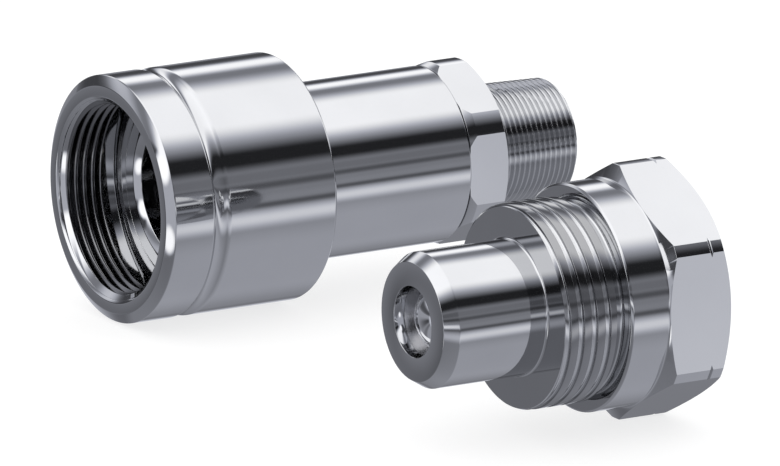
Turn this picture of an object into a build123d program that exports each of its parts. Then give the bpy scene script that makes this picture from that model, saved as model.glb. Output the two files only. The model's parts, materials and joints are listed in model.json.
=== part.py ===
from build123d import *
import math
import os

# A screw-to-connect coupling: two turned halves that lie side by side, both with their fronts
# towards -X. Sizes are in millimetres. Each half is drawn about its own axis, along X.

# Where the two halves lie
axis_spacing = 81.5        # between the two axes, in plan
nipple_setback = 0.73      # nipple's nose behind the sleeve's front face

# Nose and union thread that join the halves, and how they fit together
nose_r = 9.46
nose_length = 15.81
union_step = 4.83          # thread crests above the nose, in radius
union_thread_depth = 1.15
thread_chamfer = 0.24      # radial, at either thread's first turn
nose_fit = 0.09            # radial clearance of the nose in its bore
nose_end_gap = 0.4         # room behind the nose when the halves are joined
running_fit = 0.05         # radial clearance of what turns or slides
passing_fit = 0.09         # radial, where one piece is threaded through another
seat_clearance = 0.02      # between pieces that are assembled and then stay
axial_play = 0.15          # between faces that pass each other
valve_travel = 3.0         # how far either valve can be pushed open
joined_opening = 2.5       # how far each valve is open when the halves are joined

# Locking sleeve
sleeve_wall = 3.21         # outside the thread's root
sleeve_length = 27.0
sleeve_mouth_room = 0.31
sleeve_mouth_depth = 0.9
sleeve_lead_in = 0.5
sleeve_front_chamfer_radial = 1.45
sleeve_front_chamfer_axial = 0.86
sleeve_rear_chamfer = 0.4
grip_groove_x = 6.9
grip_groove_bottom_x = 8.0
grip_groove_end_x = 9.7
grip_groove_depth = 0.45
sleeve_thread_end_x = 6.6
thread_relief_room = 0.21
thread_relief_end_gap = 0.3
flange_room = 0.25
sleeve_shoulder_width = 7.9
ring_room = 1.0            # radial, round the snap ring in the sleeve's counterbore

# Coupler body
body_front_x = 10.3
body_wall = 2.95           # round the nose's bore
body_rear_x = 51.8
body_edge = 0.25
flange_width = 3.7
bore_mouth_flare = 1.35
bore_mouth_depth = 0.6
seal_gland_x = 17.6
seal_gland_depth = 1.42
bore_relief = 0.25         # radial, inside the backup ring and behind the seal
poppet_hole_r = 5.0
poppet_wall = 1.9
valve_chamber_room = 0.8   # round the poppet's head
guide_shoulder_x = 42.0
guide_shoulder_height = 1.0

# Snap ring behind the sleeve's shoulder
sleeve_ring_thickness = 1.2
sleeve_ring_height = 1.7   # above the body
sleeve_ring_groove_depth = 0.55
snap_ring_gap = 3.0

# O-rings and backup rings
seal_section = 1.78
seal_room = 1.2            # width of an O-ring's room, as a share of its section
backup_width = 1.1
poppet_seal_section = 1.5
seat_seal_section = 1.0
bead_corner = 0.29         # chamfer of a ring's section, as a share of its height

# Coupler valve
poppet_head_overlap = 2.2  # beyond its hole, in radius
poppet_head_thickness = 1.9
poppet_pin_r = 2.0
poppet_nose_x = 27.2       # where the poppet's cone begins, in its hole
poppet_stem_r = 2.5
poppet_hub_r = 4.0
poppet_hub_length = 1.8
poppet_stem_end_x = 46.5
poppet_seal_r = 6.1
poppet_seal_gap = 0.08
guide_thickness = 2.5
guide_hole_r = 1.4
guide_hole_circle_r = 6.2
spring_wire_r = 0.55
spring_mean_r = 5.2
spring_turns = 4

# Adapter: stub in the body, hexagon, and tapered pipe-thread tail
adapter_hex_flats = 24.0
adapter_hex_r = 13.0
adapter_hex_rear_x = 58.3
adapter_hex_front_chamfer = 1.1
adapter_hex_rear_chamfer = 0.9
adapter_hex_rear_r = 11.5
adapter_rear_x = 72.0
adapter_bore_r = 5.0
adapter_mouth_r = 7.8
stub_gland_x = 48.0
stub_gland_depth = 1.4
pipe_thread_end_r = 8.363
pipe_taper = 1 / 32        # growth in radius along the axis
tail_end_chamfer_r = 7.53
tail_end_chamfer = 1.15
bore_edge = 0.4

# Nipple body, measured from its nose
nose_cone_height = 1.18
nose_cone_length = 1.89
nose_root_fillet = 0.35
nose_hole_r = 4.95
nose_wall = 1.7
thread_lead_in = 0.6
thread_end_x = 24.0
undercut_depth = 0.29      # below the thread's root
collar_x = 25.45
collar_height = 1.56       # above the thread's crests
collar_edge = 0.3
nipple_hex_x = 31.46
nipple_hex_flats = 32.0
nipple_hex_r = 18.0
nipple_hex_front_chamfer = 1.04
nipple_hex_rear_chamfer = 1.25
nipple_rear_x = 41.26
mark_groove_x = 38.1
mark_groove_width = 0.8
mark_groove_depth = 0.5
port_inner_x = 26.5
port_r = 7.4
port_mouth_r = 8.6

# Nipple valve, measured from the nose
ball_r = 5.953
ball_room = 0.897          # between the ball and the bore round it
ball_recess = 1.25
seat_half_angle = 30.0
seat_gap = 0.1
seat_mouth_r = 6.3
seat_rim = 0.2
seat_groove_x = 2.3
seat_groove_width = 1.4
follower_x = 11.2
follower_flange_x = 13.2
follower_end_x = 15.0
follower_spigot_r = 3.2
follower_fit = 0.1
nipple_spring_wire_r = 0.5
nipple_spring_mean_r = 4.15
stop_x = 22.0
stop_thickness = 2.2
stop_hole_r = 1.1
stop_hole_circle_r = 4.9
stop_centre_hole_r = 2.2
stop_ring_thickness = 1.0
stop_ring_inner_r = 5.6
stop_ring_groove_depth = 0.6

# Sizes that follow from the ones above
union_major_r = nose_r + union_step
union_minor_r = union_major_r - union_thread_depth
thread_face_r = union_major_r - thread_chamfer
sleeve_r = union_major_r + sleeve_wall
thread_relief_r = union_major_r + thread_relief_room
nose_bore_r = nose_r + nose_fit
body_r = nose_bore_r + body_wall
flange_r = union_minor_r - passing_fit
flange_bore_r = flange_r + flange_room
sleeve_ring_r = body_r + sleeve_ring_height
sleeve_counterbore_r = sleeve_ring_r + ring_room
poppet_head_r = poppet_hole_r + poppet_head_overlap
valve_chamber_r = poppet_head_r + valve_chamber_room
adapter_socket_r = valve_chamber_r + guide_shoulder_height
collar_r = union_major_r + collar_height
nipple_bore_r = ball_r + ball_room
nose_bore_end_x = body_front_x + nose_length + nose_end_gap
poppet_seat_x = nose_bore_end_x + poppet_wall
flange_rear_x = body_front_x + flange_width
sleeve_shoulder_x = flange_rear_x + axial_play
sleeve_shoulder_end_x = sleeve_shoulder_x + sleeve_shoulder_width
sleeve_ring_x = sleeve_shoulder_end_x + axial_play
seal_gland_width = backup_width + seal_room * seal_section
stub_gland_width = seal_gland_width
nose_ball_x = body_front_x + nose_length - ball_recess
pin_tip_x = nose_ball_x - 2 * joined_opening
poppet_cone_offset = axial_play * math.sqrt(2)
poppet_head_x = poppet_seat_x + poppet_head_overlap + poppet_cone_offset
poppet_back_x = poppet_head_x + poppet_head_thickness
adapter_stub_x = guide_shoulder_x + guide_thickness
ball_x = ball_recess + ball_r
seat_slope = math.tan(math.radians(seat_half_angle))
seat_apex_x = ball_x - (ball_r + seat_gap) / math.sin(math.radians(seat_half_angle))
stop_ring_x = stop_x + stop_thickness
coupler_axis_z = sleeve_r
nipple_axis_z = nipple_hex_r

# The origin is under the middle of the pair, on the surface that it lies on
middle_x = adapter_rear_x / 2
middle_y = (sleeve_r - axis_spacing - nipple_hex_flats / 2) / 2


def turned(*points):
    """A solid turned about X from a closed outline of (along, radius) points."""
    return revolve(make_face(Polyline(*points, close=True)), Axis.X, 360)


def turned_bead(x, r, width, height):
    """A ring turned about X, with an eight-sided section of the given width along X."""
    section = Rectangle(width, height)
    section = chamfer(section.vertices(), bead_corner * height)
    return revolve(Pos(x, r) * section, Axis.X, 360)


def hexagon(x, length, flats):
    """A hexagonal prism along X with one corner straight up."""
    outline = RegularPolygon(flats / 2, 6, major_radius=False, rotation=30)
    return extrude(Plane.YZ.offset(x) * outline, length)


def holes_round(x, length, hole_r, circle_r, count):
    """Holes along X, evenly spaced on a circle."""
    spots = PolarLocations(circle_r, count, start_angle=90)
    outline = Sketch() + [spot * Circle(hole_r) for spot in spots]
    return extrude(Plane.YZ.offset(x) * outline, length)


def ball(x, r):
    """A ball with its poles on the X axis."""
    return Pos(x, 0, 0) * Rot(0, 90, 0) * Sphere(r)


def snap_ring(x, thickness, inner_r, outer_r, gap):
    """A flat split ring with its gap straight up."""
    ring = turned((x, inner_r), (x, outer_r), (x + thickness, outer_r), (x + thickness, inner_r))
    slot = Pos(x + thickness / 2, 0, outer_r) * Box(2 * thickness, gap, 2 * outer_r)
    return ring - slot


def coil_spring(x, end_x, mean_r, wire_r, turns):
    """A coil of eight-sided wire along X between two flat faces."""
    coil_length = end_x - x - 2 * wire_r - 2 * seat_clearance
    start = x + wire_r + seat_clearance
    path = Helix(coil_length / turns, coil_length, mean_r, center=(start, 0, 0), direction=(1, 0, 0))
    section = Plane(origin=path @ 0, z_dir=path % 0) * RegularPolygon(wire_r, 8)
    return sweep(section, path=path, is_frenet=True)


def locking_sleeve():
    relief_end = body_front_x + thread_relief_end_gap
    mouth_r = union_major_r + sleeve_mouth_room
    lead_in_x = sleeve_mouth_depth + sleeve_lead_in
    return turned(
        (0, mouth_r),
        (0, sleeve_r - sleeve_front_chamfer_radial),
        (sleeve_front_chamfer_axial, sleeve_r),
        (grip_groove_x, sleeve_r),
        (grip_groove_bottom_x, sleeve_r - grip_groove_depth),
        (grip_groove_end_x, sleeve_r),
        (sleeve_length - sleeve_rear_chamfer, sleeve_r),
        (sleeve_length, sleeve_r - sleeve_rear_chamfer),
        (sleeve_length, sleeve_counterbore_r),
        (sleeve_shoulder_end_x, sleeve_counterbore_r),
        (sleeve_shoulder_end_x, body_r + running_fit),
        (sleeve_shoulder_x, body_r + running_fit),
        (sleeve_shoulder_x, flange_bore_r),
        (relief_end, flange_bore_r),
        (relief_end, thread_relief_r),
        (sleeve_thread_end_x, thread_relief_r),
        (sleeve_thread_end_x, union_minor_r),
        (lead_in_x, union_minor_r),
        (sleeve_mouth_depth, thread_face_r),
    )


def sleeve_snap_ring():
    inner_r = body_r - sleeve_ring_groove_depth + seat_clearance
    return snap_ring(sleeve_ring_x, sleeve_ring_thickness, inner_r, sleeve_ring_r, snap_ring_gap)


def coupler_body():
    groove_x = sleeve_ring_x - seat_clearance
    groove_end_x = sleeve_ring_x + sleeve_ring_thickness + seat_clearance
    groove_r = body_r - sleeve_ring_groove_depth
    gland_end_x = seal_gland_x + seal_gland_width
    gland_r = nose_bore_r + seal_gland_depth
    relief_r = nose_bore_r + bore_relief
    return turned(
        (body_front_x, nose_bore_r + bore_mouth_flare),
        (body_front_x, flange_r - body_edge),
        (body_front_x + body_edge, flange_r),
        (flange_rear_x, flange_r),
        (flange_rear_x, body_r),
        (groove_x, body_r),
        (groove_x, groove_r),
        (groove_end_x, groove_r),
        (groove_end_x, body_r),
        (body_rear_x - body_edge, body_r),
        (body_rear_x, body_r - body_edge),
        (body_rear_x, adapter_socket_r),
        (guide_shoulder_x, adapter_socket_r),
        (guide_shoulder_x, valve_chamber_r),
        (poppet_seat_x + valve_chamber_r - poppet_hole_r, valve_chamber_r),
        (poppet_seat_x, poppet_hole_r),
        (nose_bore_end_x, poppet_hole_r),
        (nose_bore_end_x, relief_r),
        (gland_end_x, relief_r),
        (gland_end_x, gland_r),
        (seal_gland_x, gland_r),
        (seal_gland_x, nose_bore_r),
        (body_front_x + bore_mouth_depth, nose_bore_r),
    )


def nose_backup_ring():
    x = seal_gland_x + seat_clearance
    end_x = x + backup_width - 2 * seat_clearance
    inner_r = nose_bore_r + bore_relief
    outer_r = nose_bore_r + seal_gland_depth - seat_clearance
    return turned((x, inner_r), (x, outer_r), (end_x, outer_r), (end_x, inner_r))


def nose_o_ring():
    middle = seal_gland_x + backup_width + seal_section / 2 + seat_clearance
    gland_r = nose_bore_r + seal_gland_depth
    return turned_bead(
        middle, gland_r - seal_section / 2 - seat_clearance, seal_section, seal_section
    )


def poppet_seal_centre():
    """Middle of the soft ring's section, set back square to the seat's 45 degree cone."""
    set_back = (poppet_seal_section / 2 + poppet_seal_gap) / math.sqrt(2)
    x = poppet_seat_x + poppet_seal_r - poppet_hole_r + set_back
    return x, poppet_seal_r - set_back


def poppet_seal():
    x, r = poppet_seal_centre()
    return turned_bead(x, r, poppet_seal_section, poppet_seal_section)


def coupler_poppet():
    cone_front_r = poppet_hole_r - (poppet_seat_x + poppet_cone_offset - poppet_nose_x)
    hub_end_x = poppet_back_x + poppet_hub_length
    poppet = turned(
        (pin_tip_x, 0),
        (pin_tip_x, poppet_pin_r / 2),
        (pin_tip_x + poppet_pin_r / 2, poppet_pin_r),
        (poppet_nose_x, poppet_pin_r),
        (poppet_nose_x, cone_front_r),
        (poppet_head_x, poppet_head_r),
        (poppet_back_x, poppet_head_r),
        (poppet_back_x, poppet_hub_r),
        (hub_end_x, poppet_hub_r),
        (hub_end_x, poppet_stem_r),
        (poppet_stem_end_x, poppet_stem_r),
        (poppet_stem_end_x, 0),
    )
    x, r = poppet_seal_centre()
    groove_width = poppet_seal_section + 2 * seat_clearance
    return poppet - turned_bead(x, r, groove_width, groove_width)


def poppet_spring():
    return coil_spring(poppet_back_x, guide_shoulder_x, spring_mean_r, spring_wire_r, spring_turns)


def poppet_guide():
    x = guide_shoulder_x
    end_x = x + guide_thickness
    bore_r = poppet_stem_r + running_fit
    rim_r = adapter_socket_r - running_fit
    disc = turned((x, bore_r), (x, rim_r), (end_x, rim_r), (end_x, bore_r))
    return disc - holes_round(x, guide_thickness, guide_hole_r, guide_hole_circle_r, 6)


def coupler_adapter():
    stub_r = adapter_socket_r - running_fit
    gland_end_x = stub_gland_x + stub_gland_width
    gland_r = stub_r - stub_gland_depth
    thread_r = pipe_thread_end_r + (adapter_rear_x - adapter_hex_rear_x) * pipe_taper
    chamfer_x = adapter_rear_x - tail_end_chamfer
    hex_length = adapter_hex_rear_x - body_rear_x
    nut = hexagon(body_rear_x, hex_length, adapter_hex_flats) & turned(
        (body_rear_x, 0),
        (body_rear_x, body_r),
        (body_rear_x + adapter_hex_front_chamfer, adapter_hex_r),
        (adapter_hex_rear_x - adapter_hex_rear_chamfer, adapter_hex_r),
        (adapter_hex_rear_x, adapter_hex_rear_r),
        (adapter_hex_rear_x, 0),
    )
    spine = turned(
        (adapter_stub_x, 0),
        (adapter_stub_x, stub_r),
        (stub_gland_x, stub_r),
        (stub_gland_x, gland_r),
        (gland_end_x, gland_r),
        (gland_end_x, stub_r),
        (body_rear_x + body_edge, stub_r),
        (adapter_hex_rear_x - body_edge, thread_r),
        (chamfer_x, pipe_thread_end_r + tail_end_chamfer * pipe_taper),
        (adapter_rear_x, tail_end_chamfer_r),
        (adapter_rear_x, 0),
    )
    mouth_end_x = adapter_stub_x + adapter_mouth_r - adapter_bore_r
    bore = turned(
        (adapter_stub_x, 0),
        (adapter_stub_x, adapter_mouth_r),
        (mouth_end_x, adapter_bore_r),
        (adapter_rear_x - bore_edge, adapter_bore_r),
        (adapter_rear_x, adapter_bore_r + bore_edge),
        (adapter_rear_x, 0),
    )
    return nut + spine - bore


def adapter_backup_ring():
    x = stub_gland_x + seal_section * seal_room + seat_clearance
    end_x = stub_gland_x + stub_gland_width - seat_clearance
    inner_r = adapter_socket_r - running_fit - stub_gland_depth + seat_clearance
    outer_r = adapter_socket_r - seat_clearance
    return turned((x, inner_r), (x, outer_r), (end_x, outer_r), (end_x, inner_r))


def adapter_o_ring():
    space = running_fit + stub_gland_depth
    height = space - 2 * seat_clearance
    x = stub_gland_x + seal_section * seal_room / 2
    return turned_bead(x, adapter_socket_r - space / 2, seal_section, height)


def nipple_body():
    mark_x = mark_groove_x - mark_groove_width / 2
    mark_end_x = mark_groove_x + mark_groove_width / 2
    undercut_r = union_minor_r - undercut_depth
    blank = turned(
        (0, 0),
        (0, nose_r - nose_cone_height),
        (nose_cone_length, nose_r),
        (nose_length - nose_root_fillet, nose_r),
        (nose_length, nose_r + nose_root_fillet),
        (nose_length, thread_face_r),
        (nose_length + thread_lead_in, union_major_r),
        (thread_end_x, union_major_r),
        (thread_end_x, undercut_r),
        (collar_x, undercut_r),
        (collar_x, collar_r - collar_edge),
        (collar_x + collar_edge, collar_r),
        (nipple_hex_x, collar_r),
        (nipple_hex_x, 0),
    )
    nut_length = nipple_rear_x - nipple_hex_x
    nut = hexagon(nipple_hex_x, nut_length, nipple_hex_flats) & turned(
        (nipple_hex_x, 0),
        (nipple_hex_x, collar_r),
        (nipple_hex_x + nipple_hex_front_chamfer, nipple_hex_r),
        (mark_x, nipple_hex_r),
        (mark_groove_x, nipple_hex_r - mark_groove_depth),
        (mark_end_x, nipple_hex_r),
        (nipple_rear_x - nipple_hex_rear_chamfer, nipple_hex_r),
        (nipple_rear_x, collar_r),
        (nipple_rear_x, 0),
    )
    groove_r = nipple_bore_r + stop_ring_groove_depth
    groove_end_x = stop_ring_x + stop_ring_thickness + 2 * seat_clearance
    port_inner_r = port_r - (nipple_rear_x - port_inner_x) * pipe_taper
    bore = turned(
        (0, 0),
        (0, nose_hole_r),
        (nose_wall, nose_hole_r),
        (nose_wall, nipple_bore_r),
        (stop_ring_x, nipple_bore_r),
        (stop_ring_x, groove_r),
        (groove_end_x, groove_r),
        (groove_end_x, nipple_bore_r),
        (port_inner_x, nipple_bore_r),
        (port_inner_x, port_inner_r),
        (nipple_rear_x - (port_mouth_r - port_r), port_r),
        (nipple_rear_x, port_mouth_r),
        (nipple_rear_x, 0),
    )
    return blank + nut - bore


def nipple_ball():
    return ball(ball_x, ball_r)


def ball_seat():
    ring_r = nipple_bore_r - running_fit
    groove_r = ring_r - seat_seal_section
    groove_end_x = seat_groove_x + seat_groove_width
    cone_x = seat_apex_x + nose_hole_r / seat_slope
    cone_end_x = seat_apex_x + seat_mouth_r / seat_slope
    ring_end_x = cone_end_x + seat_rim
    return turned(
        (nose_wall, nose_hole_r),
        (nose_wall, ring_r),
        (seat_groove_x, ring_r),
        (seat_groove_x, groove_r),
        (groove_end_x, groove_r),
        (groove_end_x, ring_r),
        (ring_end_x, ring_r),
        (ring_end_x, seat_mouth_r),
        (cone_end_x, seat_mouth_r),
        (cone_x, nose_hole_r),
    )


def seat_o_ring():
    height = seat_seal_section
    middle_r = nipple_bore_r - running_fit / 2 - height / 2
    x = seat_groove_x + seat_groove_width / 2
    return turned_bead(x, middle_r, seat_groove_width - 2 * seat_clearance, height)


def ball_follower():
    flange_length = follower_flange_x - follower_x
    corner_r = nipple_bore_r - follower_fit
    outline = RegularPolygon(corner_r, 6, rotation=30)
    flange = extrude(Plane.YZ.offset(follower_x) * outline, flange_length)
    spigot = turned(
        (follower_x, 0),
        (follower_x, follower_spigot_r),
        (follower_end_x, follower_spigot_r),
        (follower_end_x, 0),
    )
    return flange + spigot - ball(ball_x, ball_r + seat_clearance)


def nipple_spring():
    return coil_spring(
        follower_flange_x, stop_x, nipple_spring_mean_r, nipple_spring_wire_r, spring_turns
    )


def spring_stop():
    end_x = stop_x + stop_thickness
    rim_r = nipple_bore_r - running_fit
    hole_r = stop_centre_hole_r
    disc = turned((stop_x, hole_r), (stop_x, rim_r), (end_x, rim_r), (end_x, hole_r))
    return disc - holes_round(stop_x, stop_thickness, stop_hole_r, stop_hole_circle_r, 6)


def stop_snap_ring():
    outer_r = nipple_bore_r + stop_ring_groove_depth - seat_clearance
    x = stop_ring_x + seat_clearance
    return snap_ring(x, stop_ring_thickness, stop_ring_inner_r, outer_r, snap_ring_gap)


coupler_pieces = [
    locking_sleeve,
    sleeve_snap_ring,
    coupler_body,
    nose_backup_ring,
    nose_o_ring,
    coupler_poppet,
    poppet_seal,
    poppet_spring,
    poppet_guide,
    coupler_adapter,
    adapter_o_ring,
    adapter_backup_ring,
]
nipple_pieces = [
    nipple_body,
    nipple_ball,
    ball_seat,
    seat_o_ring,
    ball_follower,
    nipple_spring,
    spring_stop,
    stop_snap_ring,
]
coupler_place = Pos(-middle_x, -middle_y, coupler_axis_z)
nipple_place = Pos(nipple_setback - middle_x, -axis_spacing - middle_y, nipple_axis_z)

os.makedirs("parts", exist_ok=True)
for place, pieces in ((coupler_place, coupler_pieces), (nipple_place, nipple_pieces)):
    for piece in pieces:
        export_step(place * piece(), f"parts/{piece.__name__}.step")
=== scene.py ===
import json
import math

import bmesh
import bpy
from mathutils import Matrix, Vector


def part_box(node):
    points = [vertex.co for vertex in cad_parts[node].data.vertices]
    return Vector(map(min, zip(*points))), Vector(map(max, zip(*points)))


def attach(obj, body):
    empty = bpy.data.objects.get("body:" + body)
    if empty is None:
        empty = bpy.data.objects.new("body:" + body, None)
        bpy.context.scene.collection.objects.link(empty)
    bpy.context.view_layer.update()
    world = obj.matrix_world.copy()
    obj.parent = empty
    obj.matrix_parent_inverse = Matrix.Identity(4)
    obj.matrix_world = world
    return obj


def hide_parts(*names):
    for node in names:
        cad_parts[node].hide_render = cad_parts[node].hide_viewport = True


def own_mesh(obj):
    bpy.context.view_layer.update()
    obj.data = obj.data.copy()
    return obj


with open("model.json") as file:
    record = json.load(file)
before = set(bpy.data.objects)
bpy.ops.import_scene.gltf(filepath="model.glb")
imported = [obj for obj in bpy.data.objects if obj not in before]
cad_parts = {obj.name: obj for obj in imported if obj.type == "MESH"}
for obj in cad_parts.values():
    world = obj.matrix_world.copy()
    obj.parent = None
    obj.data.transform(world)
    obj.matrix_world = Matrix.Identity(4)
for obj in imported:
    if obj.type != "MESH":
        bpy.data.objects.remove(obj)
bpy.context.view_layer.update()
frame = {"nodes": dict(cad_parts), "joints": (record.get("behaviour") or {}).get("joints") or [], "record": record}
mm = 0.001
print("frame loaded:", len(frame["nodes"]), "nodes")


def frontOf(nodeName):
    # the middle of a node's front end
    low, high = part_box(nodeName)
    middle = (low + high) / 2
    return Vector((low.x, middle.y, middle.z))


# Both halves lie along X. Every outline below is (along, radius) in mm from that half's front end.
couplerFront = frontOf("locking_sleeve")
nippleFront = frontOf("nipple_body")


class Socket:
    # wraps one output, so that shader maths reads as an expression
    def __init__(self, tree, link):
        self.tree = tree
        self.link = link

    def maths(self, operation, *others):
        return self.tree.add("ShaderNodeMath", {"operation": operation}, self, *others)

    def __add__(self, other):
        return self.maths("ADD", other)

    def __sub__(self, other):
        return self.maths("SUBTRACT", other)

    def __rsub__(self, other):
        return (self * -1.0) + other

    def __mul__(self, other):
        return self.maths("MULTIPLY", other)

    __radd__ = __add__
    __rmul__ = __mul__


class NodeTree:
    def __init__(self, tree):
        self.tree = tree
        tree.nodes.clear()

    def add(self, kind, settings=None, *values, output=0, **named):
        # adds a node; its sockets take values or links, by their order or by their names
        node = self.tree.nodes.new(kind)
        for key, value in (settings or {}).items():
            if key == "stops":
                self.setStops(node.color_ramp, value)
            else:
                setattr(node, key, value)
        sockets = list(enumerate(values)) + [(k.replace("_", " "), v) for k, v in named.items()]
        for key, value in sockets:
            if isinstance(value, Socket):
                self.tree.links.new(value.link, node.inputs[key])
            elif value is not None:
                node.inputs[key].default_value = value
        return Socket(self, node.outputs[output]) if node.outputs else node

    def setStops(self, ramp, stops):
        while len(ramp.elements) < len(stops):
            ramp.elements.new(1.0)
        for element, (place, colour) in zip(ramp.elements, stops):
            element.position = place
            element.color = (*colour, 1.0)

    def split(self, vector):
        # the three parts of a vector, as sockets
        first = self.add("ShaderNodeSeparateXYZ", None, vector)
        return [Socket(self, output) for output in first.link.node.outputs]

    def fade(self, value, low, high, atLow, atHigh):
        # runs softly from one value to another as the input runs from low to high
        soft = {"interpolation_type": "SMOOTHSTEP"}
        return self.add("ShaderNodeMapRange", soft, value, low, high, atLow, atHigh)

    def blend(self, share, first, second):
        # passes from the first colour to the second as the share runs from 0 to 1
        return self.add("ShaderNodeMix", {"data_type": "RGBA"}, share, output=2, A=first, B=second)

    def tone(self, noise, look):
        # a look's dark and light colours, spread over the middle of a noise
        stops = [(0.3, look["dark"]), (0.7, look["light"])]
        return self.add("ShaderNodeValToRGB", {"stops": stops}, noise)


def newMaterial(name):
    material = bpy.data.materials.new(name)
    material.use_nodes = True
    return material, NodeTree(material.node_tree)


def finishMaterial(tree, colour, roughness, normal=None, metallic=1.0, **constants):
    shader = tree.add(
        "ShaderNodeBsdfPrincipled",
        None,
        Base_Color=colour,
        Roughness=roughness,
        Metallic=metallic,
        Normal=normal,
        **constants,
    )
    tree.add("ShaderNodeOutputMaterial", None, Surface=shader)


def threadShadeMask(tree, place, thread):
    # 1 where a thread lies and 0 elsewhere; it places the painted shade on the threads
    along, across, up = tree.split(place)
    across = across - thread["front"].y
    up = up - thread["front"].z
    radius = (across * across + up * up).maths("POWER", 0.5)
    mask = radius.maths("GREATER_THAN", thread["inner"] * mm)
    mask = mask * radius.maths("LESS_THAN", thread["outer"] * mm)
    mask = mask * along.maths("GREATER_THAN", thread["front"].x + thread["start"] * mm)
    return mask * along.maths("LESS_THAN", thread["front"].x + thread["end"] * mm)


def turnedMetal(name, look):
    # bright turned metal: fine rings round the X axis, faint handling smears and a soft tint,
    # and, where there is a thread, rougher and darkened with painted shade
    material, tree = newMaterial(name)
    place = tree.add("ShaderNodeTexCoord", None, output="Object")
    scale = (look["rings"], look["ringsAcross"], look["ringsAcross"])
    rings = tree.add("ShaderNodeMapping", None, Vector=place, Scale=scale)
    ringNoise = tree.add(
        "ShaderNodeTexNoise", None, Vector=rings, Scale=1.0, Detail=look["ringDetail"]
    )
    smears = tree.add(
        "ShaderNodeTexNoise", None, Vector=place, Scale=look["smears"], Detail=look["smearDetail"]
    )
    roughness = ringNoise * look["ringRoughness"] + smears * look["smearRoughness"]
    roughness = roughness + look["roughness"]
    colour = tree.tone(smears, look)
    bump = tree.add(
        "ShaderNodeBump",
        None,
        Strength=look["bump"],
        Distance=look["bumpDepth"] * mm,
        Height=ringNoise,
    )
    if "thread" in look:
        thread = look["thread"]
        # painted shade: where there is a thread the colour is pulled towards the thread's darker colour, and the
        # roughness is raised
        dullAndPaintedShade = threadShadeMask(tree, place, thread)
        colour = tree.blend(dullAndPaintedShade, colour, thread["colour"])
        roughness = roughness + dullAndPaintedShade * thread["roughness"]
    finishMaterial(tree, colour, roughness, bump)
    return material


platedLook = {
    "rings": 4200.0,
    "ringsAcross": 6.0,
    "ringDetail": 3.0,
    "smears": 55.0,
    "smearDetail": 4.0,
    "ringRoughness": 0.03,
    "smearRoughness": 0.03,
    "roughness": 0.02,
    "dark": (0.53, 0.535, 0.545),
    "light": (0.57, 0.575, 0.585),
    "bump": 0.04,
    "bumpDepth": 0.01,
}
# Where the two union threads lie, in mm from their half's front end and axis, the painted shade that darkens them,
# and their added roughness
nippleThread = {
    "front": nippleFront,
    "start": 15.7,
    "end": 24.05,
    "inner": 14.12,            # painted shade on the crests only, darkening their reflections, so that the valleys stay bright
    "outer": 14.5,
    # painted shade: a darker colour on the crests in place of their dimmer reflections
    "colour": (0.3, 0.303, 0.31, 1.0),
    "roughness": 0.04,
}
sleeveThread = {
    "front": couplerFront,
    "start": 0.97,
    "end": 6.7,
    "inner": 13.0,
    "outer": 14.45,
    # painted shade: the sleeve's mouth and its internal thread darkened to stand in for the shade in that recess
    "colour": (0.22, 0.222, 0.23, 1.0),
    "roughness": 0.08,
}
bodyLook = dict(platedLook, thread=nippleThread)
sleeveLook = dict(platedLook, thread=sleeveThread)
ballLook = dict(
    platedLook,
    dark=(0.84, 0.845, 0.86),
    light=(0.9, 0.905, 0.92),
    rings=600.0,
    bump=0.01,
    roughness=0.01,
    ringRoughness=0.01,
)
valveLook = dict(
    platedLook, dark=(0.5, 0.5, 0.51), light=(0.6, 0.6, 0.61), roughness=0.18, bump=0.3
)
springLook = dict(
    valveLook, dark=(0.34, 0.34, 0.36), light=(0.44, 0.44, 0.46), roughness=0.25, bump=0.2
)


def grainedMaterial(name, look):
    # rubber or plastic with a fine grain
    material, tree = newMaterial(name)
    place = tree.add("ShaderNodeTexCoord", None, output="Object")
    grain = tree.add(
        "ShaderNodeTexNoise", None, Vector=place, Scale=look["grain"], Detail=look["detail"]
    )
    bump = tree.add(
        "ShaderNodeBump", None, Strength=look["bump"], Distance=look["bumpDepth"] * mm, Height=grain
    )
    roughness = grain * look["grainRoughness"] + look["roughness"]
    constants = {"Subsurface_Weight": look["subsurface"]}
    finishMaterial(tree, tree.tone(grain, look), roughness, bump, 0.0, **constants)
    return material


rubberLook = {
    "grain": 4000.0,
    "detail": 3.0,
    "bump": 0.2,
    "bumpDepth": 0.02,
    "dark": (0.012, 0.012, 0.013),
    "light": (0.024, 0.024, 0.025),
    "grainRoughness": 0.15,
    "roughness": 0.45,
    "subsurface": 0.0,
}
plasticLook = {
    "grain": 900.0,
    "detail": 2.0,
    "bump": 0.1,
    "bumpDepth": 0.02,
    "dark": (0.74, 0.73, 0.7),
    "light": (0.82, 0.81, 0.78),
    "grainRoughness": 0.1,
    "roughness": 0.35,
    "subsurface": 0.1,
}

materials = {
    "plated_steel": turnedMetal("platedSteel", bodyLook),
    "plated_sleeve": turnedMetal("platedSleeve", sleeveLook),
    "ball_steel": turnedMetal("ballSteel", ballLook),
    "valve_steel": turnedMetal("valveSteel", valveLook),
    "spring_steel": turnedMetal("springSteel", springLook),
    "seal_rubber": grainedMaterial("sealRubber", rubberLook),
    "white_backup_plastic": grainedMaterial("whiteBackupPlastic", plasticLook),
}
print("materials ready:", len(materials))

turnSteps = 320            # round a turned piece
turnWedges = 16
sealSteps = 160            # round a soft ring
easeSegments = 5           # along a small eased corner
easeSegmentsPerMm = 14     # along a large one
mergeWithin = 2e-7         # in m
smoothAngle = math.radians(20)
threadGap = 0.005          # half the gap between one turn's foot and the next, in mm
threadTurnsAhead = 2       # wound ahead of the first crest, to be cut away


def easeCorners(bm, corners, size):
    # rounds some corners of an outline; size is how far back from its corner each begins, in mm
    if size > 0:
        bmesh.ops.bevel(
            bm,
            geom=corners,
            offset=size * mm,
            segments=max(easeSegments, round(size * easeSegmentsPerMm)),
            profile=0.5,
            affect="VERTICES",
            material=-1,
            clamp_overlap=True,
        )


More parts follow.
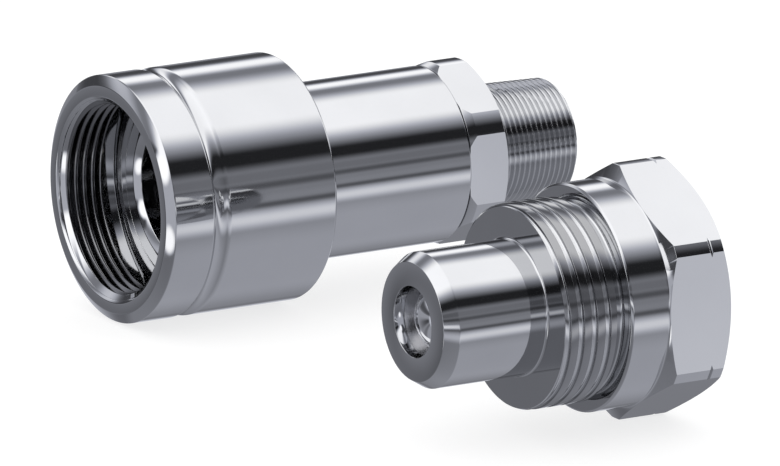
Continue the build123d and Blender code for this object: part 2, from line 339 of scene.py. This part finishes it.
def drawOutline(bm, outline, ease):
    # a closed outline; a point's third value, where it has one, is how far its corner is eased
    verts = [bm.verts.new((point[0] * mm, 0, point[1] * mm)) for point in outline]
    for i, vert in enumerate(verts):
        bm.edges.new((vert, verts[(i + 1) % len(verts)]))
    sizes = [point[2] if len(point) > 2 else ease for point in outline]
    for size in sorted(set(sizes)):
        easeCorners(bm, [vert for vert, own in zip(verts, sizes) if own == size], size)


def repeatRound(bm, count, turn, step=0.0):
    # repeats what is there, each copy turned further about X and moved along it, and joins them
    first = bm.verts[:] + bm.edges[:] + bm.faces[:]
    for i in range(1, count):
        copy = bmesh.ops.duplicate(bm, geom=first)["geom"]
        verts = [item for item in copy if isinstance(item, bmesh.types.BMVert)]
        bmesh.ops.rotate(bm, verts=verts, cent=(0, 0, 0), matrix=Matrix.Rotation(turn * i, 3, "X"))
        bmesh.ops.translate(bm, verts=verts, vec=(step * i, 0, 0))
    bmesh.ops.remove_doubles(bm, verts=bm.verts[:], dist=mergeWithin)


def turnRound(bm, steps=turnSteps):
    # spins what is there through one wedge about X, and repeats the wedge all the way round
    wedge = 2 * math.pi / turnWedges
    bmesh.ops.spin(
        bm,
        geom=bm.verts[:] + bm.edges[:],
        cent=(0, 0, 0),
        axis=(1, 0, 0),
        angle=wedge,
        steps=steps // turnWedges,
    )
    repeatRound(bm, turnWedges, wedge)
    bmesh.ops.recalc_face_normals(bm, faces=bm.faces[:])


def turnOutline(outline, ease):
    bm = bmesh.new()
    drawOutline(bm, outline, ease)
    turnRound(bm)
    return bm


def cutAndClose(bm, point, normal):
    # cuts away what lies beyond a plane and closes the cut
    cut = bmesh.ops.bisect_plane(
        bm,
        geom=bm.verts[:] + bm.edges[:] + bm.faces[:],
        plane_co=point,
        plane_no=normal,
        clear_outer=True,
    )
    rim = [item for item in cut["geom_cut"] if isinstance(item, bmesh.types.BMEdge)]
    bmesh.ops.holes_fill(bm, edges=rim, sides=0)


def cutFlats(bm, flats):
    # cuts the six flats of a hexagon, with one corner straight up
    for i in range(6):
        normal = Vector((0, math.cos(math.pi / 3 * i), math.sin(math.pi / 3 * i)))
        cutAndClose(bm, normal * (flats / 2 * mm), normal)
    bmesh.ops.recalc_face_normals(bm, faces=bm.faces[:])


def ridgeOutline(spec):
    # one ridge seen from the side, its foot a little below the thread's root; points along the
    # flanks, clear of the eased corners, let a lead-in cut them finely
    root, crest = spec["rootR"], spec["crestR"]
    half = spec["pitch"] / 2 - threadGap
    foot = spec["pitch"] / 2 - spec["valley"] / 2
    top = spec["crest"] / 2
    under = root - math.copysign(spec["under"], crest - root)
    rising = [(-half, under, 0), (-half, root, 0), (-foot, root, spec["valleyEase"])]
    between = spec.get("flankPoints", 0)
    for i in range(between):
        share = (i + 2) / (between + 3)
        along = -(top * share + foot * (1 - share))
        rising.append((along, crest * share + root * (1 - share), 0))
    rising.append((-top, crest, spec["crestEase"]))
    falling = [(-along, radius, size) for along, radius, size in reversed(rising)]
    return rising + falling


def threadRidge(spec):
    # one ridge wound about X as a right-hand helix, cut square at both ends; a taper changes its
    # radius steadily ahead of its end, and a lead-in cuts its crest back to a cone at its start
    bm = bmesh.new()
    pitch = spec["pitch"]
    drawOutline(bm, ridgeOutline(spec), 0)
    ahead = spec["crestAt"] - threadTurnsAhead * pitch
    bmesh.ops.translate(bm, verts=bm.verts[:], vec=(ahead * mm, 0, 0))
    bmesh.ops.spin(
        bm,
        geom=bm.verts[:] + bm.edges[:],
        cent=(0, 0, 0),
        axis=(1, 0, 0),
        dvec=(pitch * mm / spec["steps"], 0, 0),
        angle=2 * math.pi,
        steps=spec["steps"],
    )
    turns = math.ceil((spec["end"] - spec["crestAt"]) / pitch) + threadTurnsAhead + 1
    repeatRound(bm, turns, 0.0, pitch * mm)
    for place, side in ((spec["start"], -1), (spec["end"], 1)):
        cutAndClose(bm, (place * mm, 0, 0), (side, 0, 0))
    outside = spec["crestR"] > spec["rootR"]
    for vert in bm.verts:
        along = vert.co.x / mm
        radius = math.hypot(vert.co.y, vert.co.z) / mm
        wanted = radius + spec.get("taper", 0.0) * (spec["end"] - along)
        if "leadIn" in spec:
            limit = spec["leadInR"] + (along - spec["start"]) * spec["leadIn"]
            wanted = min(wanted, limit) if outside else max(wanted, limit)
        vert.co.yz = vert.co.yz * (wanted / radius)
    bmesh.ops.recalc_face_normals(bm, faces=bm.faces[:])
    return bm


def makePiece(name, meshes, front, node, body, slotName):
    # joins bmeshes into one object, moves it to its half, and puts it in the CAD node's place
    whole = bmesh.new()
    for bm in meshes:
        part = bpy.data.meshes.new(name + "Part")
        bm.to_mesh(part)
        bm.free()
        whole.from_mesh(part)
        bpy.data.meshes.remove(part)
    whole.transform(Matrix.Translation(front))
    for face in whole.faces:
        face.smooth = True
    for edge in whole.edges:
        if len(edge.link_faces) == 2 and edge.calc_face_angle(0.0) > smoothAngle:
            edge.smooth = False
    mesh = bpy.data.meshes.new(name)
    whole.to_mesh(mesh)
    whole.free()
    piece = bpy.data.objects.new(name, mesh)
    bpy.context.scene.collection.objects.link(piece)
    mesh.materials.append(materials[slotName])
    normals = piece.modifiers.new("faceNormals", "WEIGHTED_NORMAL")
    normals.keep_sharp = True
    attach(piece, body)
    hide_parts(node)
    print("made", name, len(mesh.polygons), "faces")
    return piece


sleeve = {
    "radius": 17.5,
    "length": 27.0,
    "mouthR": 14.6,
    "mouthSlope": 1.29,        # how much the mouth's radius shrinks for each mm along
    "chamferRadial": 1.45,
    "chamferAlong": 0.86,
    "grooveFrom": 6.95,
    "grooveTo": 9.5,
    "grooveSide": 0.75,
    "grooveDepth": 0.5,
    "threadEnd": 6.6,
    "reliefR": 14.5,
    "reliefEnd": 10.6,
    "boreR": 13.3,
    "shoulderFrom": 14.15,
    "shoulderTo": 22.05,
    "shoulderR": 12.55,
    "counterboreR": 15.2,
    "rearChamfer": 0.4,
    "ease": 0.1,
    "edgeEase": 0.12,          # where the front chamfer ends and where the groove begins
    "grooveFloorEase": 0.5,
    "grooveRearEase": 0.3,
    "threadEase": 0.04,
    "firstCrest": 1.5,
    "threadInset": 0.01,       # how far inside its core the ridge starts
    "threadEndInset": 0.02,
    "thread": {
        "pitch": 1.36,
        "rootR": 14.2,
        "crestR": 13.35,
        "crest": 0.12,
        "crestEase": 0.07,
        "valley": 0.16,
        "valleyEase": 0.06,
        "under": 0.15,
        "flankPoints": 12,
        "steps": 160,
    },
}


def makeLockingSleeve():
    s = sleeve
    rootR = s["thread"]["rootR"]
    threadStart = (s["mouthR"] - rootR) / s["mouthSlope"]
    grooveFloor = s["radius"] - s["grooveDepth"]
    outline = [
        (0, s["mouthR"]),
        (0, s["radius"] - s["chamferRadial"]),
        (s["chamferAlong"], s["radius"], s["edgeEase"]),
        (s["grooveFrom"], s["radius"], s["edgeEase"]),
        (s["grooveFrom"] + s["grooveSide"], grooveFloor, s["grooveFloorEase"]),
        (s["grooveTo"] - s["grooveSide"], grooveFloor, s["grooveFloorEase"]),
        (s["grooveTo"], s["radius"], s["grooveRearEase"]),
        (s["length"] - s["rearChamfer"], s["radius"]),
        (s["length"], s["radius"] - s["rearChamfer"]),
        (s["length"], s["counterboreR"]),
        (s["shoulderTo"], s["counterboreR"]),
        (s["shoulderTo"], s["shoulderR"]),
        (s["shoulderFrom"], s["shoulderR"]),
        (s["shoulderFrom"], s["boreR"]),
        (s["reliefEnd"], s["boreR"]),
        (s["reliefEnd"], s["reliefR"]),
        (s["threadEnd"], s["reliefR"]),
        (s["threadEnd"], rootR, s["threadEase"]),
        (threadStart, rootR, s["threadEase"]),
    ]
    thread = dict(
        s["thread"],
        crestAt=s["firstCrest"],
        start=threadStart + s["threadInset"],
        end=s["threadEnd"] - s["threadEndInset"],
        leadIn=-s["mouthSlope"],
        leadInR=rootR - s["threadInset"] * s["mouthSlope"],
    )
    makePiece(
        "lockingSleeve",
        [turnOutline(outline, s["ease"]), threadRidge(thread)],
        couplerFront,
        "locking_sleeve",
        "sleeve",
        "plated_sleeve",
    )


couplerBody = {
    "front": 10.3,
    "rear": 51.8,
    "radius": 12.5,
    "edge": 0.25,
    "flangeR": 13.05,
    "flangeRear": 14.0,
    "ringGrooveFrom": 22.18,
    "ringGrooveTo": 23.42,
    "ringGrooveR": 11.95,
    "mouthR": 10.75,
    "mouthDepth": 0.65,
    "noseBoreR": 9.55,
    "noseBoreEnd": 26.51,
    "reliefR": 9.8,
    "glandFrom": 17.6,
    "glandTo": 20.836,
    "glandR": 10.97,
    "poppetHoleR": 5.0,
    "poppetSeat": 28.41,
    "chamberR": 8.0,
    "guideShoulder": 42.0,
    "socketR": 9.0,
    "ease": 0.08,
}


def makeCouplerBody():
    b = couplerBody
    outline = [
        (b["front"], b["mouthR"]),
        (b["front"], b["flangeR"] - b["edge"]),
        (b["front"] + b["edge"], b["flangeR"]),
        (b["flangeRear"], b["flangeR"]),
        (b["flangeRear"], b["radius"]),
        (b["ringGrooveFrom"], b["radius"]),
        (b["ringGrooveFrom"], b["ringGrooveR"]),
        (b["ringGrooveTo"], b["ringGrooveR"]),
        (b["ringGrooveTo"], b["radius"]),
        (b["rear"] - b["edge"], b["radius"]),
        (b["rear"], b["radius"] - b["edge"]),
        (b["rear"], b["socketR"]),
        (b["guideShoulder"], b["socketR"]),
        (b["guideShoulder"], b["chamberR"]),
        (b["poppetSeat"] + b["chamberR"] - b["poppetHoleR"], b["chamberR"]),
        (b["poppetSeat"], b["poppetHoleR"]),
        (b["noseBoreEnd"], b["poppetHoleR"]),
        (b["noseBoreEnd"], b["reliefR"]),
        (b["glandTo"], b["reliefR"]),
        (b["glandTo"], b["glandR"]),
        (b["glandFrom"], b["glandR"]),
        (b["glandFrom"], b["noseBoreR"]),
        (b["front"] + b["mouthDepth"], b["noseBoreR"]),
    ]
    makePiece(
        "couplerBody",
        [turnOutline(outline, b["ease"])],
        couplerFront,
        "coupler_body",
        "coupler",
        "plated_steel",
    )


adapter = {
    "stubFront": 44.5,
    "stubR": 8.95,
    "glandFrom": 48.0,
    "glandTo": 51.236,
    "glandR": 7.55,
    "hexFront": 51.8,
    "hexRear": 58.3,
    "flats": 24.0,
    "hexR": 13.0,
    "frontChamfer": 1.1,
    "frontR": 12.5,
    "rearChamfer": 0.9,
    "rearR": 11.5,
    "rear": 72.0,
    "boreR": 5.0,
    "boreEdge": 0.4,
    "mouthR": 7.8,
    "neck": 0.35,              # between the hexagon and the thread
    "endChamferR": 7.53,
    "endChamfer": 1.15,
    "ease": 0.06,
    "threadDepth": 0.5,
    "threadEndInset": 0.35,
    "thread": {
        "pitch": 0.85,
        "crestR": 8.363,       # at the rear end
        "taper": 1 / 32,
        "crest": 0.12,
        "crestEase": 0.06,
        "valley": 0.2,
        "valleyEase": 0.06,
        "under": 0.15,
        "steps": 96,
    },
}


def makeCouplerAdapter():
    a = adapter
    tailEnd = a["rear"] - a["endChamfer"]
    rootEnd = a["thread"]["crestR"] - a["threadDepth"]
    rootStart = rootEnd + (tailEnd - a["hexRear"]) * a["thread"]["taper"]
    outline = [
        (a["stubFront"], a["mouthR"]),
        (a["stubFront"], a["stubR"]),
        (a["glandFrom"], a["stubR"]),
        (a["glandFrom"], a["glandR"]),
        (a["glandTo"], a["glandR"]),
        (a["glandTo"], a["stubR"]),
        (a["hexFront"], a["stubR"]),
        (a["hexFront"], a["frontR"]),
        (a["hexFront"] + a["frontChamfer"], a["hexR"]),
        (a["hexRear"] - a["rearChamfer"], a["hexR"]),
        (a["hexRear"], a["rearR"]),
        (a["hexRear"], rootStart),
        (tailEnd, rootEnd),
        (a["rear"], a["endChamferR"]),
        (a["rear"], a["boreR"] + a["boreEdge"]),
        (a["rear"] - a["boreEdge"], a["boreR"]),
        (a["stubFront"] + a["mouthR"] - a["boreR"], a["boreR"]),
    ]
    blank = turnOutline(outline, a["ease"])
    cutFlats(blank, a["flats"])
    thread = dict(
        a["thread"],
        rootR=rootEnd,
        crestAt=a["hexRear"],
        start=a["hexRear"] + a["neck"],
        end=a["rear"] - a["threadEndInset"],
    )
    makePiece(
        "couplerAdapter",
        [blank, threadRidge(thread)],
        couplerFront,
        "coupler_adapter",
        "coupler",
        "plated_steel",
    )


nipple = {
    "holeR": 4.95,
    "faceR": 8.28,
    "cone": 1.89,
    "noseR": 9.46,
    "noseEnd": 15.81,
    "fillet": 0.35,
    "bossFaceR": 14.05,
    "firstCrest": 0.99,        # behind the boss's face, straight up
    "threadEnd": 24.0,
    "threadInset": 0.004,      # how far inside its core the ridge starts and ends
    "threadSink": 0.02,        # how far the core lies below the thread's root
    "undercutR": 13.3,
    "collarFrom": 25.45,
    "collarR": 15.85,
    "collarEdge": 0.3,
    "hexFrom": 31.46,
    "flats": 32.0,
    "hexR": 18.0,
    "frontChamfer": 1.04,
    "rearChamfer": 1.25,
    "rear": 41.26,
    "rearR": 15.85,
    "markAt": 38.1,
    "markWidth": 0.45,
    "markDepth": 0.3,
    "wall": 1.7,
    "boreR": 6.85,
    "ringGrooveFrom": 24.2,
    "ringGrooveTo": 25.24,
    "ringGrooveR": 7.45,
    "portInner": 26.5,
    "portInnerR": 6.94,
    "portMouthR": 8.6,
    "portThreadDepth": 1.0,
    "portThreadSetback": 0.6,  # how far behind the port's inner end its thread starts
    "ease": 0.07,
    "holeEase": 0.1,
    "undercutEase": 0.4,
    "hexEase": 0.2,
    "unionThread": {
        "pitch": 2.117,
        "rootR": 13.85,
        "crestR": 14.29,
        "crest": 1.24,
        "crestEase": 0.1,
        "valley": 0.7,
        "valleyEase": 0.14,
        "under": 0.2,
        "leadIn": 0.4,         # how much its crest may rise for each mm along
        "steps": 200,
    },
    "portThread": {
        "pitch": 1.411,
        "crestR": 7.4,
        "taper": -1 / 32,
        "crest": 0.1,
        "crestEase": 0.06,
        "valley": 0.12,
        "valleyEase": 0.05,
        "under": 0.15,
        "steps": 120,
    },
}


def makeNippleBody():
    n = nipple
    coreR = n["unionThread"]["rootR"] - n["threadSink"]
    portRootR = n["portThread"]["crestR"] + n["portThreadDepth"]
    portEnd = n["rear"] - n["portMouthR"] + portRootR
    outline = [
        (0, n["holeR"], n["holeEase"]),
        (0, n["faceR"]),
        (n["cone"], n["noseR"]),
        (n["noseEnd"], n["noseR"], n["fillet"]),
        (n["noseEnd"], coreR, 0),
        (n["threadEnd"], coreR, 0),
        (n["threadEnd"], n["undercutR"], n["undercutEase"]),
        (n["collarFrom"], n["undercutR"], n["undercutEase"]),
        (n["collarFrom"], n["collarR"] - n["collarEdge"]),
        (n["collarFrom"] + n["collarEdge"], n["collarR"]),
        (n["hexFrom"], n["collarR"], n["hexEase"]),
        (n["hexFrom"] + n["frontChamfer"], n["hexR"]),
        (n["markAt"] - n["markWidth"] / 2, n["hexR"]),
        (n["markAt"], n["hexR"] - n["markDepth"]),
        (n["markAt"] + n["markWidth"] / 2, n["hexR"]),
        (n["rear"] - n["rearChamfer"], n["hexR"]),
        (n["rear"], n["rearR"]),
        (n["rear"], n["portMouthR"]),
        (portEnd, portRootR),
        (n["portInner"], n["portInnerR"] + n["portThreadDepth"]),
        (n["portInner"], n["boreR"]),
        (n["ringGrooveTo"], n["boreR"]),
        (n["ringGrooveTo"], n["ringGrooveR"]),
        (n["ringGrooveFrom"], n["ringGrooveR"]),
        (n["ringGrooveFrom"], n["boreR"]),
        (n["wall"], n["boreR"]),
        (n["wall"], n["holeR"]),
    ]
    blank = turnOutline(outline, n["ease"])
    cutFlats(blank, n["flats"])
    unionThread = dict(
        n["unionThread"],
        crestAt=n["noseEnd"] + n["firstCrest"],
        start=n["noseEnd"] + n["threadInset"],
        end=n["threadEnd"] - n["threadInset"],
        leadInR=n["bossFaceR"],
    )
    portThread = dict(
        n["portThread"],
        rootR=portRootR,
        crestAt=n["portInner"],
        start=n["portInner"] + n["portThreadSetback"],
        end=portEnd,
    )
    makePiece(
        "nippleBody",
        [blank, threadRidge(unionThread), threadRidge(portThread)],
        nippleFront,
        "nipple_body",
        "nipple",
        "plated_steel",
    )


ball = {"sides": 128, "rings": 80}


def makeNippleBall():
    # fills its CAD ball's box, with its poles on the X axis
    low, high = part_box("nipple_ball")
    radius = (high.x - low.x) / 2
    bm = bmesh.new()
    bmesh.ops.create_uvsphere(
        bm, u_segments=ball["sides"], v_segments=ball["rings"], radius=radius
    )
    bmesh.ops.rotate(bm, verts=bm.verts[:], matrix=Matrix.Rotation(math.pi / 2, 3, "Y"))
    makePiece("nippleBall", [bm], (low + high) / 2, "nipple_ball", "nipple_valve", "ball_steel")


# O-rings: each fills its CAD ring's box, with a round section squeezed to its height in mm
sealSides = 32
sealRings = {
    "noseORing": {"node": "nose_o_ring", "body": "coupler", "height": 1.78},
    "poppetSeal": {"node": "poppet_seal", "body": "coupler_valve", "height": 1.5},
    "adapterORing": {"node": "adapter_o_ring", "body": "coupler", "height": 1.41},
    "seatORing": {"node": "seat_o_ring", "body": "nipple", "height": 1.0},
}


def makeSealRing(name, ring):
    low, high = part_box(ring["node"])
    middle = (low + high) / 2
    height = ring["height"] * mm
    bm = bmesh.new()
    bmesh.ops.create_circle(bm, segments=sealSides, radius=0.5)
    bmesh.ops.rotate(bm, verts=bm.verts[:], matrix=Matrix.Rotation(math.pi / 2, 3, "X"))
    bmesh.ops.scale(bm, verts=bm.verts[:], vec=(high.x - low.x, 1, height))
    bmesh.ops.translate(bm, verts=bm.verts[:], vec=(0, 0, (high.z - low.z - height) / 2))
    turnRound(bm, sealSteps)
    makePiece(name, [bm], middle, ring["node"], ring["body"], "seal_rubber")


# Springs: each rides on the body that its fixed end stands on
wireSides = 20
coilSteps = 48             # round one turn
springs = {
    "poppetSpring": {
        "node": "poppet_spring",
        "body": "coupler",
        "joint": "coupler_valve_slide",
        "wireR": 0.55,
        "turns": 3,
    },
    "nippleSpring": {
        "node": "nipple_spring",
        "body": "nipple",
        "joint": "nipple_valve_slide",
        "wireR": 0.5,
        "turns": 3,
    },
}


def makeSpring(name, spring):
    # one closed turn at each end and open turns between them
    low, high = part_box(spring["node"])
    wireR = spring["wireR"] * mm
    length = high.x - low.x
    closedPitch = 2 * wireR
    openPitch = (length - 2 * wireR - 2 * closedPitch) / spring["turns"]
    bm = bmesh.new()
    bmesh.ops.create_circle(bm, cap_ends=False, segments=wireSides, radius=wireR)
    bmesh.ops.rotate(bm, verts=bm.verts[:], matrix=Matrix.Rotation(math.pi / 2, 3, "X"))
    bmesh.ops.translate(bm, verts=bm.verts[:], vec=(wireR, 0, (high.z - low.z) / 2 - wireR))
    reach = bm.verts[:] + bm.edges[:]
    for pitch in [closedPitch] + [openPitch] * spring["turns"] + [closedPitch]:
        reach = bmesh.ops.spin(
            bm,
            geom=reach,
            cent=(0, 0, 0),
            axis=(1, 0, 0),
            dvec=(pitch / coilSteps, 0, 0),
            angle=2 * math.pi,
            steps=coilSteps,
        )["geom_last"]
    ends = [edge for edge in bm.edges if edge.is_boundary]
    bmesh.ops.holes_fill(bm, edges=ends, sides=0)
    bmesh.ops.recalc_face_normals(bm, faces=bm.faces[:])
    front = frontOf(spring["node"])
    piece = makePiece(name, [bm], front, spring["node"], spring["body"], "spring_steel")
    joint = next(item for item in frame["joints"] if item["name"] == spring["joint"])
    1 - joint["range_m"][1] / length
    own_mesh(piece)


makeLockingSleeve()
makeCouplerBody()
makeCouplerAdapter()
makeNippleBody()
makeNippleBall()
for name, ring in sealRings.items():
    makeSealRing(name, ring)
for name, spring in springs.items():
    makeSpring(name, spring)

# The other inner pieces keep their CAD shapes and take their finishes
slotOf = {part["node"]: part["material_slot"] for part in frame["record"]["subparts"]}
for nodeName, node in frame["nodes"].items():
    finish = materials[slotOf[nodeName]]
    if not node.material_slots:
        node.data.materials.append(finish)
    for slot in node.material_slots:
        slot.material = finish
print("inner pieces finished")

floorLook = {
    "size": 6.0,               # in m
    "drop": 0.2,               # below the couplings, in mm
    "grain": 40.0,
    "detail": 2.0,
    "dark": (0.3, 0.3, 0.3),
    "light": (0.32, 0.32, 0.32),
    "roughness": 0.9,
    "glow": 0.74,              # lifts the floor to white and leaves faint shadows
}


def makeFloor():
    look = floorLook
    bm = bmesh.new()
    bmesh.ops.create_grid(bm, x_segments=1, y_segments=1, size=look["size"])
    mesh = bpy.data.meshes.new("floor")
    bm.to_mesh(mesh)
    bm.free()
    floor = bpy.data.objects.new("floor", mesh)
    bpy.context.scene.collection.objects.link(floor)
    floor.location.z = -look["drop"] * mm
    material, tree = newMaterial("paleFloor")
    place = tree.add("ShaderNodeTexCoord", None, output="Object")
    grain = tree.add(
        "ShaderNodeTexNoise", None, Vector=place, Scale=look["grain"], Detail=look["detail"]
    )
    glow = {"Emission_Color": (1, 1, 1, 1), "Emission_Strength": look["glow"]}
    finishMaterial(tree, tree.tone(grain, look), look["roughness"], None, 0.0, **glow)
    mesh.materials.append(material)
    floor.visible_glossy = False


studio = {
    "rest": 0.34,              # how bright it is between the lights
    "floorLight": 1.12,        # the even white that all but mirroring surfaces get
    "frontShareAt": -1.1,      # the X part of a direction where strips have their front share,
    "fullAt": 0.7,             # and where they are full
    "dimTint": (0.88, 0.9, 1.0, 1.0),
    "litTint": (0.985, 0.985, 1.0, 1.0),
    "dimLevel": 0.6,
    "litLevel": 1.5,
}
# Strips of light round the couplings, long ones along X: where each is centred, in degrees round
# the X axis from the front horizon up and over, how wide it is, how soft its edge, how bright,
# and what share of that is left towards the front end
studioStrips = [
    {"at": -75, "width": 48, "soft": 40, "level": 0.585, "front": 0.42},
    {"at": 89.5, "width": 37, "soft": 24.5, "level": 1.55, "front": 1.15},
    {"at": 150, "width": 3, "soft": 12.5, "level": 1.59, "front": 0.4},
    {"at": 171, "width": 6, "soft": 11, "level": 0.09, "front": 1.0},
    {"at": -157, "width": 4, "soft": 13, "level": 0.72, "front": 0.05},
    {"at": 36, "width": 8, "soft": 11, "level": 0.026, "front": 1.0},
    {"at": 18, "width": 4, "soft": 5, "level": 0.265, "front": 0.6},
    {"at": 9, "width": 1, "soft": 5, "level": 0.145, "front": 0.6},
    {"at": -9, "width": 1, "soft": 5, "level": 0.145, "front": 1.4},
    {"at": -3, "width": 1, "soft": 5, "level": 0.34, "front": 4.0},
    {"at": -21, "width": 1, "soft": 11.5, "level": 1.08, "front": 0.6},
    {"at": -141, "width": 2, "soft": 7, "level": 0.27, "front": 0.6},
]
# Round cards, each over the one before: which way it lies, how far out it is full and fades, in
# degrees, and how bright; the second is a dark one
studioCards = [
    {"way": (-0.98, 0.02, -0.1), "full": 15, "fades": 24, "level": 0.72},
    {"way": (-0.965, 0.23, 0.12), "full": 7, "fades": 11, "level": 0.1},
    {"way": (-0.98, 0.06, 0.17), "full": 4, "fades": 9, "level": 1.9},
    {"way": (-0.93, 0.0, -0.36), "full": 3, "fades": 8, "level": 1.8},
    {"way": (0.27, 0.96, 0.04), "full": 3, "fades": 7, "level": 1.0},
]


def makeStudio():
    world = bpy.data.worlds.new("studio")
    bpy.context.scene.world = world
    world.use_nodes = True
    tree = NodeTree(world.node_tree)
    direction = tree.add("ShaderNodeTexCoord", None, output="Generated")
    sideways, ahead, upward = tree.split(direction)
    angle = upward.maths("ARCTAN2", ahead * -1.0)
    level = studio["rest"]
    for strip in studioStrips:
        away = (angle - math.radians(strip["at"])).maths("ABSOLUTE")
        near = math.radians(strip["width"] / 2)
        far = near + math.radians(strip["soft"])
        mask = tree.fade(away, near, far, 1.0, 0.0)
        share = tree.fade(sideways, studio["frontShareAt"], studio["fullAt"], strip["front"], 1.0)
        level = mask * (share * strip["level"]) + (1.0 - mask) * level
    for card in studioCards:
        away = tree.add(
            "ShaderNodeVectorMath",
            {"operation": "DOT_PRODUCT"},
            direction,
            Vector(card["way"]).normalized(),
            output=1,
        )
        full, fades = [math.cos(math.radians(card[key])) for key in ("full", "fades")]
        mask = tree.fade(away, fades, full, 0.0, 1.0)
        level = mask * card["level"] + (1.0 - mask) * level
    lit = tree.fade(level, studio["dimLevel"], studio["litLevel"], 0.0, 1.0)
    tint = tree.blend(lit, studio["dimTint"], studio["litTint"])
    tint = tree.add("ShaderNodeVectorMath", {"operation": "SCALE"}, tint, Scale=level)
    gloss = tree.add("ShaderNodeLightPath", output="Is Glossy Ray")
    shown = tree.add("ShaderNodeBackground", None, Color=tint, Strength=1.0)
    plain = tree.add(
        "ShaderNodeBackground", None, Color=(1, 1, 1, 1), Strength=studio["floorLight"]
    )
    mixed = tree.add("ShaderNodeMixShader", None, gloss, plain, shown)
    tree.add("ShaderNodeOutputWorld", None, Surface=mixed)


photoView = {
    "azimuth": 30.82,          # how far the camera stands round from square-on, in degrees
    "elevation": 14.31,
    "aim": (-14.07, 0.0, 18.65),
    "distance": 2997.6,
    "lens": 1000,              # a long lens, because the photograph shows almost no perspective
    "sensor": 36,
    "nearest": 100,
    "farthest": 20000,
}


def makeCamera():
    p = photoView
    turn, tilt = math.radians(p["azimuth"]), math.radians(p["elevation"])
    level = math.cos(tilt)
    ahead = Vector((math.sin(turn) * level, math.cos(turn) * level, -math.sin(tilt)))
    cameraData = bpy.data.cameras.new("camera")
    cameraData.lens = p["lens"]
    cameraData.sensor_width = p["sensor"]
    cameraData.clip_start = p["nearest"] * mm
    cameraData.clip_end = p["farthest"] * mm
    camera = bpy.data.objects.new("camera", cameraData)
    bpy.context.scene.collection.objects.link(camera)
    camera.location = Vector(p["aim"]) * mm - ahead * p["distance"] * mm
    camera.rotation_mode = "QUATERNION"
    camera.rotation_quaternion = ahead.to_track_quat("-Z", "Y")
    bpy.context.scene.camera = camera


makeFloor()
makeStudio()
makeCamera()
bpy.context.scene.view_settings.view_transform = "Standard"
print("studio ready")
